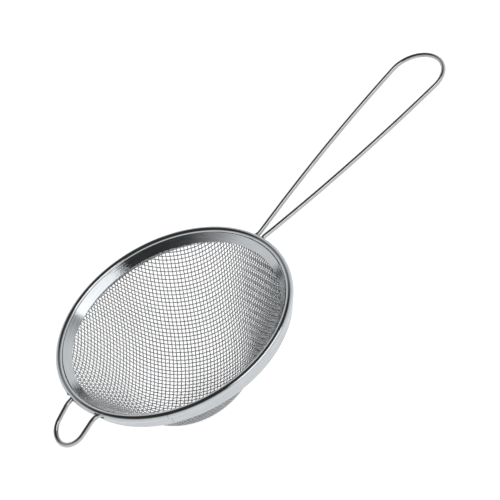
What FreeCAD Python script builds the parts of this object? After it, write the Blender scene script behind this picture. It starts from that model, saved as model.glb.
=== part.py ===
"""A small tea strainer: a woven bowl held in a rolled rim, with a long wire handle and a front hook.

Units are millimetres. The origin is on the rim's axis, at the top of the straight wall that drops into a
cup, just under the roll. +X points along the handle, away from the bowl, and +Z points up, out of the
bowl's mouth. Each piece is laid out about the roll's centre and raised to that origin when it is written.
"""
import FreeCAD
import Part
import math
import os

Vector = FreeCAD.Vector
Z_AXIS = Vector(0, 0, 1)
ORIGIN = Vector(0, 0, 0)

# ---- driving dimensions ----
RIM_DIAMETER = 80.0          # over the outside of the roll
WIRE_DIAMETER = 1.6          # handle, hook and the ring inside the roll
STRIP_THICKNESS = 0.4        # outer strip
ROLL_CLEARANCE = 0.05        # between the wire and the strip rolled round it
ROLL_START_ANGLE = 180.0     # where the neck runs into the roll, on its inner side
ROLL_END_ANGLE = -120.0      # where the rolled edge stops, under the wire
NECK_DEPTH = 1.3             # the wall draws in over this depth, up to the roll's centre
NECK_SET = 0.2               # how far it draws in
WALL_DEPTH = 4.8             # the outer strip's lower edge, below the roll's centre
SEAM_GAP = 0.08              # butt joint between a strip's two ends
OUTER_SEAM_ANGLE = 226.0
INNER_SEAM_ANGLE = 212.0

RING_THICKNESS = 0.35        # inner strip, a cone that traps the cloth
RING_TOP_HEIGHT = 0.45       # its upper edge, above the roll's centre
RING_LIP_RADIUS = 35.2       # its lower edge, inside the bowl
RING_LIP_HEIGHT = -1.75
FIT_GAP = 0.03               # between pieces that lie against each other

CLOTH_THICKNESS = 0.68       # two crossing wires of 0.34
CONE_ANGLE = 36.5            # bowl's side, from the vertical
NOSE_RADIUS = 28.0           # bowl's bottom, outside
BOWL_LEAN = 5.0              # how far the bottom sits towards the hook

HANDLE_EXIT_OFFSET = 1.25    # each leg from the middle plane, where it leaves the rim
HANDLE_END_RADIUS = 9.9
HANDLE_END_CENTRE = 116.7
HANDLE_TILT = 2.4            # degrees above the rim's plane
HANDLE_SPREAD = 9.6          # heading of a leg at the rim, degrees outwards
HANDLE_END_SPREAD = 3.1      # heading of a leg at its far end
HOOK_EXIT_OFFSET = 6.6
HOOK_END_RADIUS = 6.2
HOOK_END_CENTRE = 46.2
HOOK_DROP = 21.0             # degrees below the rim's plane
EXIT_BEND_RADIUS = 2.2       # where a leg turns out of the ring
TILT_BEND_RADIUS = 5.0       # where a loop bends up or down
HANDLE_BEND_REACH = 2.0      # from the start of a leg to that bend
HOOK_BEND_REACH = 1.0
ELBOW_SHARE = 0.9            # how much of a handle leg's shorter half its gentle elbow takes
NOTCH_CLEARANCE = 0.1        # round each leg, in the roll's side
WIRE_JOINT_ANGLE = 90.0      # where the handle's feet meet the hook's, inside the roll
WIRE_JOINT_GAP = 0.1         # each foot stops this far short of the joint, in degrees

# ---- sizes worked out from them ----
WIRE_RADIUS = WIRE_DIAMETER / 2
ROLL_INNER = WIRE_RADIUS + ROLL_CLEARANCE
ROLL_OUTER = ROLL_INNER + STRIP_THICKNESS
ROLL_CENTRE = RIM_DIAMETER / 2 - ROLL_OUTER
NECK_INNER = ROLL_CENTRE - ROLL_OUTER
WALL_INNER = NECK_INNER + NECK_SET
WALL_OUTER = WALL_INNER + STRIP_THICKNESS
LEG_START = ROLL_CENTRE + WIRE_DIAMETER  # where a leg is clear of the rim
SHORTEST_RUN = 1e-6          # a straight run below this is left out


def on_roll(radius, degrees):
    """A point of the rim's section, on a circle about the centre of the roll."""
    a = math.radians(degrees)
    return Vector(ROLL_CENTRE + radius * math.cos(a), 0, radius * math.sin(a))


def section(edges):
    """A face from the edges of a closed section."""
    return Part.Face(Part.Wire(edges))


def outline(points):
    """Straight edges from each point to the next and back to the first."""
    return [Part.makeLine(a, b) for a, b in zip(points, points[1:] + points[:1])]


def ring_with_seam(face, seam_angle):
    """A section turned about Z, all the way round but for the seam's gap."""
    gap = math.degrees(SEAM_GAP / ROLL_CENTRE)
    ring = face.revolve(ORIGIN, Z_AXIS, 360.0 - gap)
    ring.rotate(ORIGIN, Z_AXIS, seam_angle + gap / 2)
    return ring


def rim_section():
    """The outer strip: a straight wall, a drawn-in neck, and an upper edge rolled outwards over the wire."""
    foot_in = Vector(WALL_INNER, 0, -WALL_DEPTH)
    foot_out = Vector(WALL_OUTER, 0, -WALL_DEPTH)
    neck_in = Vector(WALL_INNER, 0, -NECK_DEPTH)
    neck_out = Vector(WALL_OUTER, 0, -NECK_DEPTH)
    middle = (ROLL_START_ANGLE + ROLL_END_ANGLE) / 2
    outer = [on_roll(ROLL_OUTER, angle) for angle in (ROLL_START_ANGLE, middle, ROLL_END_ANGLE)]
    inner = [on_roll(ROLL_INNER, angle) for angle in (ROLL_END_ANGLE, middle, ROLL_START_ANGLE)]
    return section([
        Part.makeLine(foot_in, neck_in),
        Part.makeLine(neck_in, outer[0]),
        Part.Arc(*outer).toShape(),
        Part.makeLine(outer[-1], inner[0]),
        Part.Arc(*inner).toShape(),
        Part.makeLine(inner[-1], neck_out),
        Part.makeLine(neck_out, foot_out),
        Part.makeLine(foot_out, foot_in),
    ])


def notch(ring_angle, exit_offset):
    """The slot in the roll's outer side that lets one leg out."""
    half_height = WIRE_RADIUS + NOTCH_CLEARANCE
    start = exit_offset - half_height
    end = exit_offset + EXIT_BEND_RADIUS + WIRE_RADIUS
    corner = Vector(ROLL_CENTRE - WIRE_RADIUS, start, -half_height)
    slot = Part.makeBox(2 * ROLL_OUTER, end - start, 2 * half_height, corner)
    slot.rotate(ORIGIN, Z_AXIS, ring_angle)
    return slot


def make_rim_band():
    """The outer strip as a ring, with a notch for each of the four legs."""
    band = ring_with_seam(rim_section(), OUTER_SEAM_ANGLE)
    for ring_angle, offset in ((0, HANDLE_EXIT_OFFSET), (180, HOOK_EXIT_OFFSET)):
        slot = notch(ring_angle, offset)
        band = band.cut(slot).cut(slot.mirror(ORIGIN, Vector(0, 1, 0)))
    return band


def ring_frame():
    """Two points and the unit normal of the inner ring's upper face, in section."""
    top = Vector(NECK_INNER - FIT_GAP, 0, RING_TOP_HEIGHT)
    lip = Vector(RING_LIP_RADIUS, 0, RING_LIP_HEIGHT)
    along = (top - lip).normalize()
    return top, lip, Vector(along.z, 0, -along.x)


def drop_to_wall(point, normal, distance):
    """The point on the wall's inner face that a parallel face, a distance below the ring's, reaches."""
    return point + Vector(0, 0, -distance / -normal.z)


def make_inner_ring():
    """The inner strip: a flat cone that bears on the cloth."""
    top, lip, down = ring_frame()
    face = section(outline([
        top,
        lip,
        lip + down * RING_THICKNESS,
        drop_to_wall(top, down, RING_THICKNESS),
    ]))
    return ring_with_seam(face, INNER_SEAM_ANGLE)


def make_mesh_bowl():
    """The cloth as a closed skin: its edge under the ring, then a cone that runs into a round nose."""
    top, lip, down = ring_frame()
    near = RING_THICKNESS + FIT_GAP
    far = near + CLOTH_THICKNESS
    edge_in = drop_to_wall(top, down, near)
    edge_out = drop_to_wall(top, down, far)
    knee_in = lip + down * near
    cone = math.radians(CONE_ANGLE)
    inward = Vector(-math.cos(cone), 0, math.sin(cone))
    knee_out = knee_in - inward * CLOTH_THICKNESS

    along = Vector(-math.sin(cone), 0, -math.cos(cone))
    run = (knee_out.x - NOSE_RADIUS * math.cos(cone)) / math.sin(cone)
    nose_out = knee_out + along * run
    nose_in = nose_out + inward * CLOTH_THICKNESS
    centre = Vector(0, 0, nose_out.z + NOSE_RADIUS * math.sin(cone))
    half_turn = (math.pi / 2 + cone) / 2

    def on_nose(radius, angle):
        return centre + Vector(radius * math.cos(angle), 0, -radius * math.sin(angle))

    nose_inner = NOSE_RADIUS - CLOTH_THICKNESS
    outer_arc = Part.Arc(nose_out, on_nose(NOSE_RADIUS, half_turn), on_nose(NOSE_RADIUS, math.pi / 2))
    inner_arc = Part.Arc(on_nose(nose_inner, math.pi / 2), on_nose(nose_inner, half_turn), nose_in)
    joint_in = Vector(knee_in.x, 0, knee_out.z) + Vector(-math.tan(cone) * (knee_in.z - knee_out.z), 0, 0)

    bowl = section([
        Part.makeLine(joint_in, knee_out),
        Part.makeLine(knee_out, nose_out),
        outer_arc.toShape(),
        Part.makeLine(on_nose(NOSE_RADIUS, math.pi / 2), on_nose(nose_inner, math.pi / 2)),
        inner_arc.toShape(),
        Part.makeLine(nose_in, joint_in),
    ]).revolve(ORIGIN, Z_AXIS, 360)
    depth = knee_out.z - (centre.z - NOSE_RADIUS)
    lean = FreeCAD.Matrix()
    lean.A13 = BOWL_LEAN / depth
    lean.A14 = -knee_out.z * BOWL_LEAN / depth
    edge = section(outline([edge_in, edge_out, knee_out, joint_in, knee_in])).revolve(ORIGIN, Z_AXIS, 360)
    return bowl.transformGeometry(lean).fuse(edge)


class WirePath:
    """A path of straight runs and tangent arcs."""

    def __init__(self):
        self.edges = []

    def line(self, start, end):
        if start.distanceToPoint(end) > SHORTEST_RUN:
            self.edges.append(Part.makeLine(start, end))

    def arc(self, start, middle, end):
        self.edges.append(Part.Arc(start, middle, end).toShape())

    def rounded(self, points, radii):
        """Straight runs through the points, with an arc of the given radius at each inner point."""
        start = points[0]
        for before, corner, after, radius in zip(points, points[1:], points[2:], radii):
            back = (before - corner).normalize()
            ahead = (after - corner).normalize()
            half = back.getAngle(ahead) / 2
            reach = radius / math.tan(half)
            bisector = (back + ahead).normalize()
            centre = corner + bisector * (radius / math.sin(half))
            self.line(start, corner + back * reach)
            self.arc(corner + back * reach, centre - bisector * radius, corner + ahead * reach)
            start = corner + ahead * reach
        self.line(start, points[-1])

    def tube(self, radius):
        """A round bar swept along the path."""
        first = self.edges[0]
        start = first.valueAt(first.FirstParameter)
        profile = Part.Wire(Part.makeCircle(radius, start, first.tangentAt(first.FirstParameter)))
        return Part.Wire(self.edges).makePipeShell([profile], True, False)


def ring_point(degrees):
    """A point of the roll's centre line."""
    a = math.radians(degrees)
    return Vector(ROLL_CENTRE * math.cos(a), ROLL_CENTRE * math.sin(a), 0)


def tilted(x, y, pivot, angle):
    """A point of a loop's flat layout, after the loop is bent up by the angle about the pivot."""
    a = math.radians(angle)
    reach = max(0.0, x - pivot)
    return Vector(min(x, pivot) + reach * math.cos(a), y, reach * math.sin(a))


def mirrored(points):
    """The points of a loop's other side, in the order that carries the path on."""
    return [Vector(p.x, -p.y, p.z) for p in reversed(points)]


def loop_wire(exit_offset, spread, side_points, side_radii, pivot, tilt):
    """A loop with its two feet: each foot runs inside the roll, then turns out through a notch.

    side_points are the corners of the loop's +Y side in its flat layout, from the rim outwards.
    """
    heading = math.radians(spread)
    # the foot leaves the ring on an arc that touches both the ring and the leg
    centre_radius = ROLL_CENTRE + EXIT_BEND_RADIUS
    normal = Vector(-math.sin(heading), math.cos(heading), 0)
    leg_point = Vector(LEG_START, exit_offset, 0)
    base = leg_point + normal * EXIT_BEND_RADIUS
    along = Vector(math.cos(heading), math.sin(heading), 0)
    base_along = base.dot(along)
    shortfall = centre_radius ** 2 - base.dot(base)
    centre = base + along * (math.sqrt(base_along ** 2 + shortfall) - base_along)
    leave_angle = math.degrees(math.atan2(centre.y, centre.x))
    leave = ring_point(leave_angle)
    touch = centre - normal * EXIT_BEND_RADIUS
    towards = ((leave - centre).normalize() + (touch - centre).normalize()).normalize()
    foot_end = WIRE_JOINT_ANGLE - WIRE_JOINT_GAP

    corners = [tilted(x, y, pivot, tilt) for x, y in side_points]
    path = WirePath()
    path.arc(ring_point(foot_end), ring_point((foot_end + leave_angle) / 2), leave)
    path.arc(leave, centre + towards * EXIT_BEND_RADIUS, touch)
    other_touch = mirrored([touch])[0]
    path.rounded([touch] + corners + mirrored(corners) + [other_touch], side_radii + side_radii[::-1])
    other_towards = mirrored([centre + towards * EXIT_BEND_RADIUS])[0]
    path.arc(other_touch, other_towards, ring_point(-leave_angle))
    path.arc(ring_point(-leave_angle), ring_point(-(foot_end + leave_angle) / 2), ring_point(-foot_end))
    return path.tube(WIRE_RADIUS)


def end_corner(centre_x, radius, spread):
    """The corner of the +Y side at a loop's round end, and its height off the middle plane."""
    half_turn = math.radians(90 + spread) / 2
    return centre_x + radius, radius * math.tan(half_turn)


def make_handle_wire():
    """The long loop: legs that splay from the rim, an elbow in each, and a round end."""
    pivot = LEG_START + HANDLE_BEND_REACH
    start = (LEG_START, HANDLE_EXIT_OFFSET)
    end = end_corner(HANDLE_END_CENTRE, HANDLE_END_RADIUS, HANDLE_END_SPREAD)
    near_slope = math.tan(math.radians(HANDLE_SPREAD))
    far_slope = math.tan(math.radians(HANDLE_END_SPREAD))
    # the two headings of a leg cross part of the way out
    elbow_x = (end[1] - far_slope * end[0] - start[1] + near_slope * start[0]) / (near_slope - far_slope)
    elbow = (elbow_x, start[1] + near_slope * (elbow_x - start[0]))
    bend = (pivot, start[1] + near_slope * (pivot - start[0]))
    turn = math.radians(HANDLE_SPREAD - HANDLE_END_SPREAD)
    elbow_radius = ELBOW_SHARE * min(elbow_x - pivot, HANDLE_END_CENTRE - elbow_x) / math.tan(turn / 2)
    return loop_wire(
        HANDLE_EXIT_OFFSET, HANDLE_SPREAD, [bend, elbow, end],
        [TILT_BEND_RADIUS, elbow_radius, HANDLE_END_RADIUS], pivot, HANDLE_TILT)


def make_hook_wire():
    """The short front loop, bent down from the rim."""
    pivot = LEG_START + HOOK_BEND_REACH
    start = (LEG_START, HOOK_EXIT_OFFSET)
    # the legs close in slightly, on the tangent to the round end
    reach = math.hypot(HOOK_END_CENTRE - start[0], start[1])
    tangent = math.asin(HOOK_END_RADIUS / reach)
    spread = math.degrees(tangent - math.atan2(start[1], HOOK_END_CENTRE - start[0]))
    slope = math.tan(math.radians(spread))
    end = end_corner(HOOK_END_CENTRE, HOOK_END_RADIUS, spread)
    bend = (pivot, start[1] + slope * (pivot - start[0]))
    hook = loop_wire(
        HOOK_EXIT_OFFSET, spread, [bend, end],
        [TILT_BEND_RADIUS, HOOK_END_RADIUS], pivot, -HOOK_DROP)
    hook.rotate(ORIGIN, Z_AXIS, 180)
    return hook


MAKERS = {
    "rim_band": make_rim_band,
    "inner_ring": make_inner_ring,
    "mesh_bowl": make_mesh_bowl,
    "handle_wire": make_handle_wire,
    "hook_wire": make_hook_wire,
}

os.makedirs("parts", exist_ok=True)
for name, make in MAKERS.items():
    shape = make()
    shape.translate(Vector(0, 0, NECK_DEPTH))
    solid = shape.Solids[0]
    print(f"{name}: {len(shape.Solids)} solid, valid {solid.isValid()}, {solid.Volume:.1f} mm3")
    solid.exportStep(f"parts/{name}.step")
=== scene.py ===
import math

import bpy
import numpy as np
from mathutils import Matrix, Vector


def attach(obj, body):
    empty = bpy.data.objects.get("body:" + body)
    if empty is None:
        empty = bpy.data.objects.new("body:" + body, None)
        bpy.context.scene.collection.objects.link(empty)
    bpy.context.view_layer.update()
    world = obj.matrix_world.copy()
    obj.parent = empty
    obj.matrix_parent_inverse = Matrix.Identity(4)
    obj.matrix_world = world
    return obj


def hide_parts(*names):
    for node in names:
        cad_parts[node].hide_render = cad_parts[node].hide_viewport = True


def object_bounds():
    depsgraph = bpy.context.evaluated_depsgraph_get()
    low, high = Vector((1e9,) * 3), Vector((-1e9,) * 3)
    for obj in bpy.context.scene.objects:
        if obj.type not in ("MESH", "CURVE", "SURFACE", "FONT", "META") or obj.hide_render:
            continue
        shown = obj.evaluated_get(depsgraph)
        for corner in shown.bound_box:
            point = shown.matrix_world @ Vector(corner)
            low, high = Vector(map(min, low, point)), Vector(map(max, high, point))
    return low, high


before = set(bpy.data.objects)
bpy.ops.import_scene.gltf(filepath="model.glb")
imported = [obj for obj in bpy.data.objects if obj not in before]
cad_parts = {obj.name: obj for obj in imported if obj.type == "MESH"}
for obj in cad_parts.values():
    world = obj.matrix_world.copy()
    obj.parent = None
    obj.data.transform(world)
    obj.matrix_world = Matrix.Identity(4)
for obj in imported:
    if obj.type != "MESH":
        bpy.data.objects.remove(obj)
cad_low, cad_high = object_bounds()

MM = 0.001                     # one millimetre, in metres

# ---- sizes shared with the CAD, in mm, with heights from the roll's centre ----
ROLL_HEIGHT = 1.3              # the roll's centre above the frame's origin
RING_TOP = np.array((37.47, 0.45))    # radius and height of the inner ring's upper edge
RING_LIP = np.array((35.20, -1.75))   # and of its lower edge
RING_THICKNESS = 0.35
FIT_GAP = 0.03
CONE_ANGLE = math.radians(36.5)  # the bowl's side, from the vertical
NOSE_RADIUS = 28.0             # the bowl's bottom, outside
BOWL_LEAN = 5.0                # how far the bottom sits towards the hook
CLOTH_EDGE = 37.3              # radius at which the wires are cut

# ---- the cloth ----
PITCH = 1.27                   # between neighbouring wires
CLOTH_WIRE = 0.17              # radius of one wire
CRIMP = 0.17                   # each wire's rise and fall about the cloth's middle
WEAVE_TURN = math.radians(-46)  # direction of the first wires round the rim's axis
CELL_STEPS = 4                 # points along a wire in each cell
WIRE_SIDES = 6
SCATTER = 0.035                # unevenness of the cloth, in mm
WANDER_STEP = SCATTER / 4      # spread of a wire's drift from one crossing to the next
WANDER_KEPT = 0.5              # share of that drift that is kept
WIRE_SHIFT = SCATTER / 2       # spread of a whole wire's shift
WEAVE_SEED = 11
FEWEST_CROSSINGS = 3           # a wire with fewer is left out
PARTS_PER_WAY = 2              # pieces that each set of wires is split into

# ---- the camera ----
VIEW_AZIMUTH = math.radians(-24.48)
VIEW_ELEVATION = math.radians(40.44)
VIEW_ROLL = math.radians(-27.81)
VIEW_DISTANCE = 650.0
VIEW_RIGHT = 24.00             # middle of the picture, right of and above the rim's centre
VIEW_UP = 22.21
LENS = 149.9
SENSOR = 36.0
CLIP_NEAR = 0.01               # in metres
CLIP_FAR = 50.0

# ---- the light ----
FLOOR_SIZE = 6.0
FLOOR_GAP = 0.2 * MM
FLOOR_GLOW = 0.74              # the floor is a light table, so no shadow shows on it
FLOOR_TONES = (0.88, 0.92)
FLOOR_GRAIN = 900.0
FLOOR_BUMP = 0.05
WALL_LIGHT = 1.00              # a pale room, with a dark ceiling that draws the dark lines
CEILING_LIGHT = 0.05           # in the steel
WALL_TOP = 0.42                # height in the sky, 0 at the horizon and 1 overhead
CEILING_EDGE = 0.72
BOX_AZIMUTH = 30               # the softbox's direction, in degrees
BOX_ELEVATION = 43
BOX_DISTANCE = 1.2             # in metres
BOX_WIDTH = 1.15
BOX_HEIGHT = 0.55
BOX_POWER = 3.4                # in watts

# ---- the steel: scales in marks to the metre, tones and shares of 1 ----
STRIP_TONE = (0.53, 0.55, 0.57)
WIRE_TONE = (0.46, 0.465, 0.47)
CLOTH_TONE = (0.41, 0.42, 0.43)
GRAIN_ACROSS = 2400.0          # the rolled strip's grain, across and round the rim
GRAIN_ROUND = 5.0
DRAWN_GRAIN = (150.0, 2600.0, 2600.0)   # the drawn wire's grain, long along x
EVEN_GRAIN = (1500.0, 1500.0, 1500.0)
CLOUD_SCALE = 140.0
SPECK_SCALE = 2200.0
SCRATCH_SCALE = 0.37           # of the grain's own scale
GRAIN_SHADE = 0.86             # tone of the grain's darker lines
GRAIN_ROUGH = (-0.03, 0.04)    # roughness that the grain adds
SCRATCH_ROUGH = 0.12           # roughness that a scratch adds
SCRATCH_FROM = 0.62            # noise values between which a scratch begins and is full
SCRATCH_FULL = 0.72
SPECK_SHARE = 0.15             # of the grain's height
STEEL_BUMP = 0.35
BUMP_HEIGHT = 0.1 * MM


# ================= the bowl's surface =================

CLOTH_THICKNESS = 4 * CLOTH_WIRE   # two crossing wires
NORMAL_STEP = 0.05             # span of the slopes that give a normal, in mm

ring_rise = (RING_TOP - RING_LIP) / np.linalg.norm(RING_TOP - RING_LIP)
ring_down = np.array((ring_rise[1], -ring_rise[0]))
cone_out = np.array((math.cos(CONE_ANGLE), -math.sin(CONE_ANGLE)))
knee_in = RING_LIP + ring_down * (RING_THICKNESS + FIT_GAP)
knee = knee_in + cone_out * CLOTH_THICKNESS / 2
knee_out = knee_in + cone_out * CLOTH_THICKNESS
nose = NOSE_RADIUS - CLOTH_THICKNESS / 2
tangent_radius = nose * math.cos(CONE_ANGLE)
tangent_height = knee[1] - (knee[0] - tangent_radius) / math.tan(CONE_ANGLE)
nose_centre = tangent_height + nose * math.sin(CONE_ANGLE)
lean = BOWL_LEAN / (knee_out[1] - nose_centre + NOSE_RADIUS)


def depth(radius):
    """Height of the cloth's middle at a radius, from the roll's centre."""
    if radius < tangent_radius:
        return nose_centre - math.sqrt(nose ** 2 - radius ** 2)
    if radius < knee[0]:
        return tangent_height + (radius - tangent_radius) / math.tan(CONE_ANGLE)
    return knee[1] + (radius - knee[0]) * ring_rise[1] / ring_rise[0]


def cloth_point(a, b):
    """Point of the cloth's middle over (a, b) of the upright bowl."""
    z = depth(math.hypot(a, b))
    shift = lean * min(0.0, z - knee_out[1])
    return np.array((a + shift, b, z + ROLL_HEIGHT))


def cloth_normal(a, b):
    """The cloth's direction up and inwards at (a, b)."""
    along = cloth_point(a + NORMAL_STEP, b) - cloth_point(a - NORMAL_STEP, b)
    across = cloth_point(a, b + NORMAL_STEP) - cloth_point(a, b - NORMAL_STEP)
    normal = np.cross(along, across)
    return normal / np.linalg.norm(normal)


# ================= the net of crossings =================

REACH = CLOTH_EDGE + 2.0 * PITCH   # how far out the crossings are laid
LONGEST_STEP = 1.5 * PITCH     # upper bound of the search for the next crossing
HALVINGS = 40                  # of that search
SOLVER_TURNS = 12
SLOPE_STEP = 1e-4              # in mm
CLOSE_ENOUGH = 1e-6            # in mm
NEARLY_ZERO = 1e-9


def walk(direction):
    """Crossings one pitch apart along one wire that runs from the bowl's lowest point."""
    spots = [(0.0, 0.0)]
    here = cloth_point(0.0, 0.0)
    travelled = 0.0
    while travelled < REACH:
        low, high = travelled, travelled + LONGEST_STEP
        for _ in range(HALVINGS):
            middle = (low + high) / 2
            spot = (middle * direction[0], middle * direction[1])
            if np.linalg.norm(cloth_point(*spot) - here) < PITCH:
                low = middle
            else:
                high = middle
        travelled = (low + high) / 2
        spot = (travelled * direction[0], travelled * direction[1])
        here = cloth_point(*spot)
        spots.append(spot)
    return spots


def crossing(first, second, guess):
    """The spot one pitch from both neighbours, on the side of the guess."""
    p, q = cloth_point(*first), cloth_point(*second)
    a, b = guess
    for _ in range(SOLVER_TURNS):
        at = cloth_point(a, b)
        miss = np.array((np.linalg.norm(at - p) - PITCH, np.linalg.norm(at - q) - PITCH))
        if abs(miss).max() < CLOSE_ENOUGH:
            break
        da = (cloth_point(a + SLOPE_STEP, b) - at) / SLOPE_STEP
        db = (cloth_point(a, b + SLOPE_STEP) - at) / SLOPE_STEP
        to_p, to_q = (at - p) / np.linalg.norm(at - p), (at - q) / np.linalg.norm(at - q)
        slope = np.array(((to_p @ da, to_p @ db), (to_q @ da, to_q @ db)))
        move = np.linalg.solve(slope, -miss)
        move *= min(1.0, PITCH / max(np.linalg.norm(move), NEARLY_ZERO))
        a, b = a + move[0], b + move[1]
    return a, b


def make_net():
    """{(i, j): spot} of every crossing of wire i of one way with wire j of the other."""
    net = {}
    turn = (math.cos(WEAVE_TURN), math.sin(WEAVE_TURN))
    ways = {(1, 0): turn, (-1, 0): (-turn[0], -turn[1]),
            (0, 1): (-turn[1], turn[0]), (0, -1): (turn[1], -turn[0])}
    for (di, dj), direction in ways.items():
        for n, spot in enumerate(walk(direction)):
            net[n * di, n * dj] = spot
    for di in (1, -1):
        for dj in (1, -1):
            i = 1
            while (i * di, 0) in net:
                j = 1
                while ((i - 1) * di, j * dj) in net and (i * di, (j - 1) * dj) in net:
                    first = net[(i - 1) * di, j * dj]
                    second = net[i * di, (j - 1) * dj]
                    back = net[(i - 1) * di, (j - 1) * dj]
                    guess = (first[0] + second[0] - back[0], first[1] + second[1] - back[1])
                    if math.hypot(*guess) > REACH + PITCH:
                        break
                    net[i * di, j * dj] = crossing(first, second, guess)
                    j += 1
                i += 1
    return net


# ================= meshes =================

def add_mesh(name, points, faces):
    """A new piece from points in metres, smooth on its four-sided faces."""
    mesh = bpy.data.meshes.new(name)
    mesh.from_pydata(points, [], faces)
    mesh.polygons.foreach_set("use_smooth", [len(f) == 4 for f in faces])
    mesh.update()
    piece = bpy.data.objects.new(name, mesh)
    bpy.context.scene.collection.objects.link(piece)
    return piece


def wire_path(spots, signs):
    """Middle line of one crimped wire and the cloth's normal along it."""
    places = np.array([cloth_point(*s) for s in spots])
    normals = np.array([cloth_normal(*s) for s in spots])
    line, ups = [], []
    last = len(places) - 1
    for n in range(last):
        p0, p1, p2, p3 = (places[max(n - 1, 0)], places[n], places[n + 1], places[min(n + 2, last)])
        for k in range(CELL_STEPS):
            t = k / CELL_STEPS
            base = 0.5 * (2 * p1 + (p2 - p0) * t + (2 * p0 - 5 * p1 + 4 * p2 - p3) * t * t
                          + (3 * p1 - p0 - 3 * p2 + p3) * t ** 3)
            up = normals[n] * (1 - t) + normals[n + 1] * t
            up /= np.linalg.norm(up)
            line.append(base + up * CRIMP * signs[n] * math.cos(math.pi * t))
            ups.append(up)
    line.append(places[last] + normals[last] * CRIMP * signs[last])
    ups.append(normals[last])
    return np.array(line), np.array(ups)


def cut_at_edge(line, ups):
    """The part of a wire inside the cloth's cut edge, or None."""
    radii = np.hypot(line[:, 0], line[:, 1])
    inside = np.nonzero(radii < CLOTH_EDGE)[0]
    if len(inside) < 2 * CELL_STEPS:
        return None
    first, last = inside[0], inside[-1]
    points, normals = [*line[first:last + 1]], [*ups[first:last + 1]]
    if first > 0:
        t = (CLOTH_EDGE - radii[first]) / (radii[first - 1] - radii[first])
        points.insert(0, line[first] + t * (line[first - 1] - line[first]))
        normals.insert(0, ups[first])
    if last < len(line) - 1:
        t = (CLOTH_EDGE - radii[last]) / (radii[last + 1] - radii[last])
        points.append(line[last] + t * (line[last + 1] - line[last]))
        normals.append(ups[last])
    return np.array(points), np.array(normals)


def tube(line, ups, points, faces):
    """Adds a closed round wire along a line to the lists of points and faces."""
    along = np.gradient(line, axis=0)
    along /= np.linalg.norm(along, axis=1)[:, None]
    side = np.cross(along, ups)
    side /= np.linalg.norm(side, axis=1)[:, None]
    top = np.cross(side, along)
    start = len(points)
    for centre, s, t in zip(line, side, top):
        for k in range(WIRE_SIDES):
            turn = math.tau * k / WIRE_SIDES
            points.append((centre + CLOTH_WIRE * (math.cos(turn) * s + math.sin(turn) * t)) * MM)
    count = len(line)
    for n in range(count - 1):
        for k in range(WIRE_SIDES):
            a = start + n * WIRE_SIDES + k
            b = start + n * WIRE_SIDES + (k + 1) % WIRE_SIDES
            faces.append((a, b, b + WIRE_SIDES, a + WIRE_SIDES))
    end = start + (count - 1) * WIRE_SIDES
    faces.append(tuple(reversed(range(start, start + WIRE_SIDES))))
    faces.append(tuple(range(end, end + WIRE_SIDES)))


def weave(net, way):
    """The wires of one way, as (points, faces) for each piece they are split into."""
    chance = np.random.default_rng(WEAVE_SEED + way)
    numbers = sorted({key[way] for key in net})
    share = -(-len(numbers) // PARTS_PER_WAY)
    pieces = []
    for start in range(0, len(numbers), share):
        points, faces = [], []
        for number in numbers[start:start + share]:
            keys = sorted((k for k in net if k[way] == number), key=lambda k: k[1 - way])
            if len(keys) < FEWEST_CROSSINGS:
                continue
            drift = np.cumsum(chance.normal(0.0, WANDER_STEP, (len(keys), 2)), axis=0)
            drift = (drift - drift.mean(axis=0)) * WANDER_KEPT
            drift = drift + chance.normal(0.0, WIRE_SHIFT, 2)
            spots = [(net[k][0] + d[0], net[k][1] + d[1]) for k, d in zip(keys, drift)]
            over = 1 if way else -1
            signs = [over * (-1) ** (k[0] + k[1]) for k in keys]
            cut = cut_at_edge(*wire_path(spots, signs))
            if cut is not None:
                tube(*cut, points, faces)
        pieces.append((points, faces))
    return pieces


# ================= materials =================

def add_node(tree, kind, links=None, **settings):
    """A shader node with its settings, and its inputs given as values or as outputs to link."""
    node = tree.nodes.new(kind)
    for key, value in settings.items():
        setattr(node, key, value)
    for key, value in (links or {}).items():
        if isinstance(value, bpy.types.NodeSocket):
            tree.links.new(value, node.inputs[key])
        else:
            node.inputs[key].default_value = value
    return node


def ranged(tree, value, low, high, start=0.3, stop=0.7):
    """Spreads a noise value from start..stop over low..high."""
    return add_node(tree, "ShaderNodeMapRange", {
        "Value": value, "From Min": start, "From Max": stop,
        "To Min": low, "To Max": high}).outputs["Result"]


def noise(tree, where, scale, detail=3.0, rough=0.55):
    """A noise value at each place."""
    return add_node(tree, "ShaderNodeTexNoise", {
        "Vector": where, "Scale": scale, "Detail": detail, "Roughness": rough}).outputs["Fac"]


def math_node(tree, operation, first, second):
    """The result of one sum, with each side a number or an output."""
    return add_node(tree, "ShaderNodeMath", {0: first, 1: second}, operation=operation).outputs[0]


def grain_round_axis(tree, where):
    """Coordinates that stretch a noise round the rim, as rolling leaves its marks."""
    parts = add_node(tree, "ShaderNodeSeparateXYZ", {0: where}).outputs
    flat = add_node(tree, "ShaderNodeVectorMath", {0: where, 1: (1.0, 1.0, 0.0)},
                    operation="MULTIPLY")
    radius = add_node(tree, "ShaderNodeVectorMath", {0: flat.outputs[0]}, operation="LENGTH")
    turn = add_node(tree, "ShaderNodeVectorMath", {0: flat.outputs[0]}, operation="NORMALIZE")
    turn_parts = add_node(tree, "ShaderNodeSeparateXYZ", {0: turn.outputs[0]}).outputs
    across = math_node(tree, "ADD", radius.outputs["Value"], parts["Z"])
    across = math_node(tree, "MULTIPLY", across, GRAIN_ACROSS)
    return add_node(tree, "ShaderNodeCombineXYZ", {
        "X": math_node(tree, "MULTIPLY", turn_parts["X"], GRAIN_ROUND),
        "Y": math_node(tree, "MULTIPLY", turn_parts["Y"], GRAIN_ROUND),
        "Z": across}).outputs[0]


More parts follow.
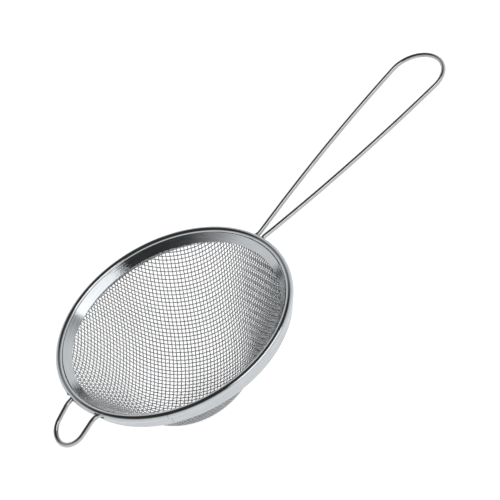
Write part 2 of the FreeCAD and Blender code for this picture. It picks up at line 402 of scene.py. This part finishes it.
def grain_along_x(tree, where):
    """Coordinates that stretch a noise along the handle, as wire drawing leaves its marks."""
    return add_node(tree, "ShaderNodeVectorMath", {0: where, 1: DRAWN_GRAIN},
                    operation="MULTIPLY").outputs[0]


def grain_even(tree, where):
    """Coordinates with no stretch, for wires that run every way."""
    return add_node(tree, "ShaderNodeVectorMath", {0: where, 1: EVEN_GRAIN},
                    operation="MULTIPLY").outputs[0]


def steel(name, tone, rough_low, rough_high, grain, streak, dents):
    """Bare steel with a directed grain, cloudy polish, fine scratches and shallow dents."""
    material = bpy.data.materials.new(name)
    material.use_nodes = True
    tree = material.node_tree
    tree.nodes.clear()
    where = add_node(tree, "ShaderNodeTexCoord").outputs["Object"]
    stretched = grain(tree, where)
    lines = noise(tree, stretched, 1.0, 4.0, 0.6)
    clouds = noise(tree, where, CLOUD_SCALE, 3.0)
    specks = noise(tree, where, SPECK_SCALE, 2.0)
    scratches = noise(tree, stretched, SCRATCH_SCALE, 6.0, 0.75)

    darker = tuple(GRAIN_SHADE * c for c in tone)
    shade = ranged(tree, lines, 0.0, 1.0)
    colour = add_node(tree, "ShaderNodeValToRGB", {"Fac": shade})
    colour.color_ramp.elements[0].color = (*darker, 1.0)
    colour.color_ramp.elements[1].color = (*tone, 1.0)

    polish = ranged(tree, clouds, rough_low, rough_high)
    fine = ranged(tree, lines, *GRAIN_ROUGH)
    worn = ranged(tree, scratches, 0.0, SCRATCH_ROUGH, SCRATCH_FROM, SCRATCH_FULL)
    rough = math_node(tree, "ADD", math_node(tree, "ADD", polish, fine), worn)

    height = math_node(tree, "ADD", math_node(tree, "MULTIPLY", lines, streak),
                       math_node(tree, "MULTIPLY", clouds, dents))
    height = math_node(tree, "ADD", height,
                       math_node(tree, "MULTIPLY", specks, SPECK_SHARE * streak))
    bump = add_node(tree, "ShaderNodeBump", {
        "Strength": STEEL_BUMP, "Distance": BUMP_HEIGHT, "Height": height})
    shader = add_node(tree, "ShaderNodeBsdfPrincipled", {
        "Base Color": colour.outputs["Color"], "Metallic": 1.0, "Roughness": rough,
        "Normal": bump.outputs["Normal"]})
    add_node(tree, "ShaderNodeOutputMaterial", {"Surface": shader.outputs[0]})
    return material


def paper(name):
    """Smooth pale floor that glows, with a faint grain."""
    material = bpy.data.materials.new(name)
    material.use_nodes = True
    tree = material.node_tree
    tree.nodes.clear()
    where = add_node(tree, "ShaderNodeTexCoord").outputs["Object"]
    grain = noise(tree, where, FLOOR_GRAIN, 2.0)
    tone = add_node(tree, "ShaderNodeValToRGB", {"Fac": grain})
    for element, grey in zip(tone.color_ramp.elements, FLOOR_TONES):
        element.color = (grey, grey, grey, 1.0)
    bump = add_node(tree, "ShaderNodeBump", {
        "Strength": FLOOR_BUMP, "Distance": BUMP_HEIGHT, "Height": grain})
    shader = add_node(tree, "ShaderNodeBsdfPrincipled", {
        "Base Color": tone.outputs["Color"], "Roughness": 0.9, "Specular IOR Level": 0.1,
        "Emission Color": (1.0, 1.0, 1.0, 1.0), "Emission Strength": FLOOR_GLOW,
        "Normal": bump.outputs["Normal"]})
    add_node(tree, "ShaderNodeOutputMaterial", {"Surface": shader.outputs[0]})
    return material


def paint(piece, material):
    """Puts one material in every slot of a piece."""
    if not piece.material_slots:
        piece.data.materials.append(material)
    for held in piece.material_slots:
        held.material = material


# ================= the pieces =================

strip_steel = steel("polished_strip", STRIP_TONE, rough_low=0.06, rough_high=0.15,
                    grain=grain_round_axis, streak=0.5, dents=1.0)
wire_steel = steel("polished_wire", WIRE_TONE, rough_low=0.10, rough_high=0.20,
                   grain=grain_along_x, streak=0.5, dents=0.8)
cloth_steel = steel("woven_wire", CLOTH_TONE, rough_low=0.09, rough_high=0.18,
                    grain=grain_even, streak=0.25, dents=0.3)

for part, material in (("rim_band", strip_steel), ("inner_ring", strip_steel),
                       ("handle_wire", wire_steel), ("hook_wire", wire_steel)):
    paint(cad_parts[part], material)

net = make_net()
for way, way_name in ((0, "weft"), (1, "warp")):
    for number, (points, faces) in enumerate(weave(net, way), 1):
        cloth = add_mesh(f"cloth_{way_name}_{number}", points, faces)
        paint(cloth, cloth_steel)
        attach(cloth, "root")
        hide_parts("mesh_bowl")


# ================= floor, light and camera =================

bpy.ops.mesh.primitive_plane_add(size=FLOOR_SIZE, location=(0, 0, cad_low.z - FLOOR_GAP))
floor = bpy.context.object
floor.name = "floor"
paint(floor, paper("pale_floor"))


def softbox(name, azimuth, elevation, distance, width, height, power):
    """A rectangular lamp that faces the strainer."""
    a, e = math.radians(azimuth), math.radians(elevation)
    away = Vector((math.sin(a) * math.cos(e), -math.cos(a) * math.cos(e), math.sin(e)))
    data = bpy.data.lights.new(name, "AREA")
    data.shape = "RECTANGLE"
    data.size, data.size_y = width, height
    data.energy = power
    lamp = bpy.data.objects.new(name, data)
    lamp.location = away * distance
    lamp.rotation_mode = "QUATERNION"
    lamp.rotation_quaternion = away.to_track_quat("Z", "Y")
    bpy.context.scene.collection.objects.link(lamp)


softbox("softbox_right", BOX_AZIMUTH, BOX_ELEVATION, BOX_DISTANCE,
        BOX_WIDTH, BOX_HEIGHT, BOX_POWER)

world = bpy.data.worlds.new("studio")
bpy.context.scene.world = world
world.use_nodes = True
sky = world.node_tree
sky.nodes.clear()
direction = add_node(sky, "ShaderNodeTexCoord").outputs["Generated"]
sky_height = add_node(sky, "ShaderNodeSeparateXYZ", {0: direction}).outputs["Z"]
sky_light = ranged(sky, sky_height, WALL_LIGHT, CEILING_LIGHT, WALL_TOP, CEILING_EDGE)
backdrop = add_node(sky, "ShaderNodeBackground", {
    "Color": (1.0, 1.0, 1.0, 1.0), "Strength": sky_light})
add_node(sky, "ShaderNodeOutputWorld", {"Surface": backdrop.outputs[0]})

scene = bpy.context.scene
scene.view_settings.view_transform = "Standard"

back = Vector((math.sin(VIEW_AZIMUTH) * math.cos(VIEW_ELEVATION),
               -math.cos(VIEW_AZIMUTH) * math.cos(VIEW_ELEVATION), math.sin(VIEW_ELEVATION)))
level_right = Vector((0, 0, 1)).cross(back).normalized()
level_up = back.cross(level_right)
right = math.cos(VIEW_ROLL) * level_right + math.sin(VIEW_ROLL) * level_up
up = math.cos(VIEW_ROLL) * level_up - math.sin(VIEW_ROLL) * level_right
eye = Vector((0, 0, ROLL_HEIGHT)) + VIEW_RIGHT * right + VIEW_UP * up + VIEW_DISTANCE * back
camera_data = bpy.data.cameras.new("camera")
camera_data.lens = LENS
camera_data.sensor_width = SENSOR
camera_data.clip_start = CLIP_NEAR
camera_data.clip_end = CLIP_FAR
camera = bpy.data.objects.new("camera", camera_data)
camera.matrix_world = Matrix.Translation(eye * MM) @ Matrix((right, up, back)).transposed().to_4x4()
scene.collection.objects.link(camera)
scene.camera = camera
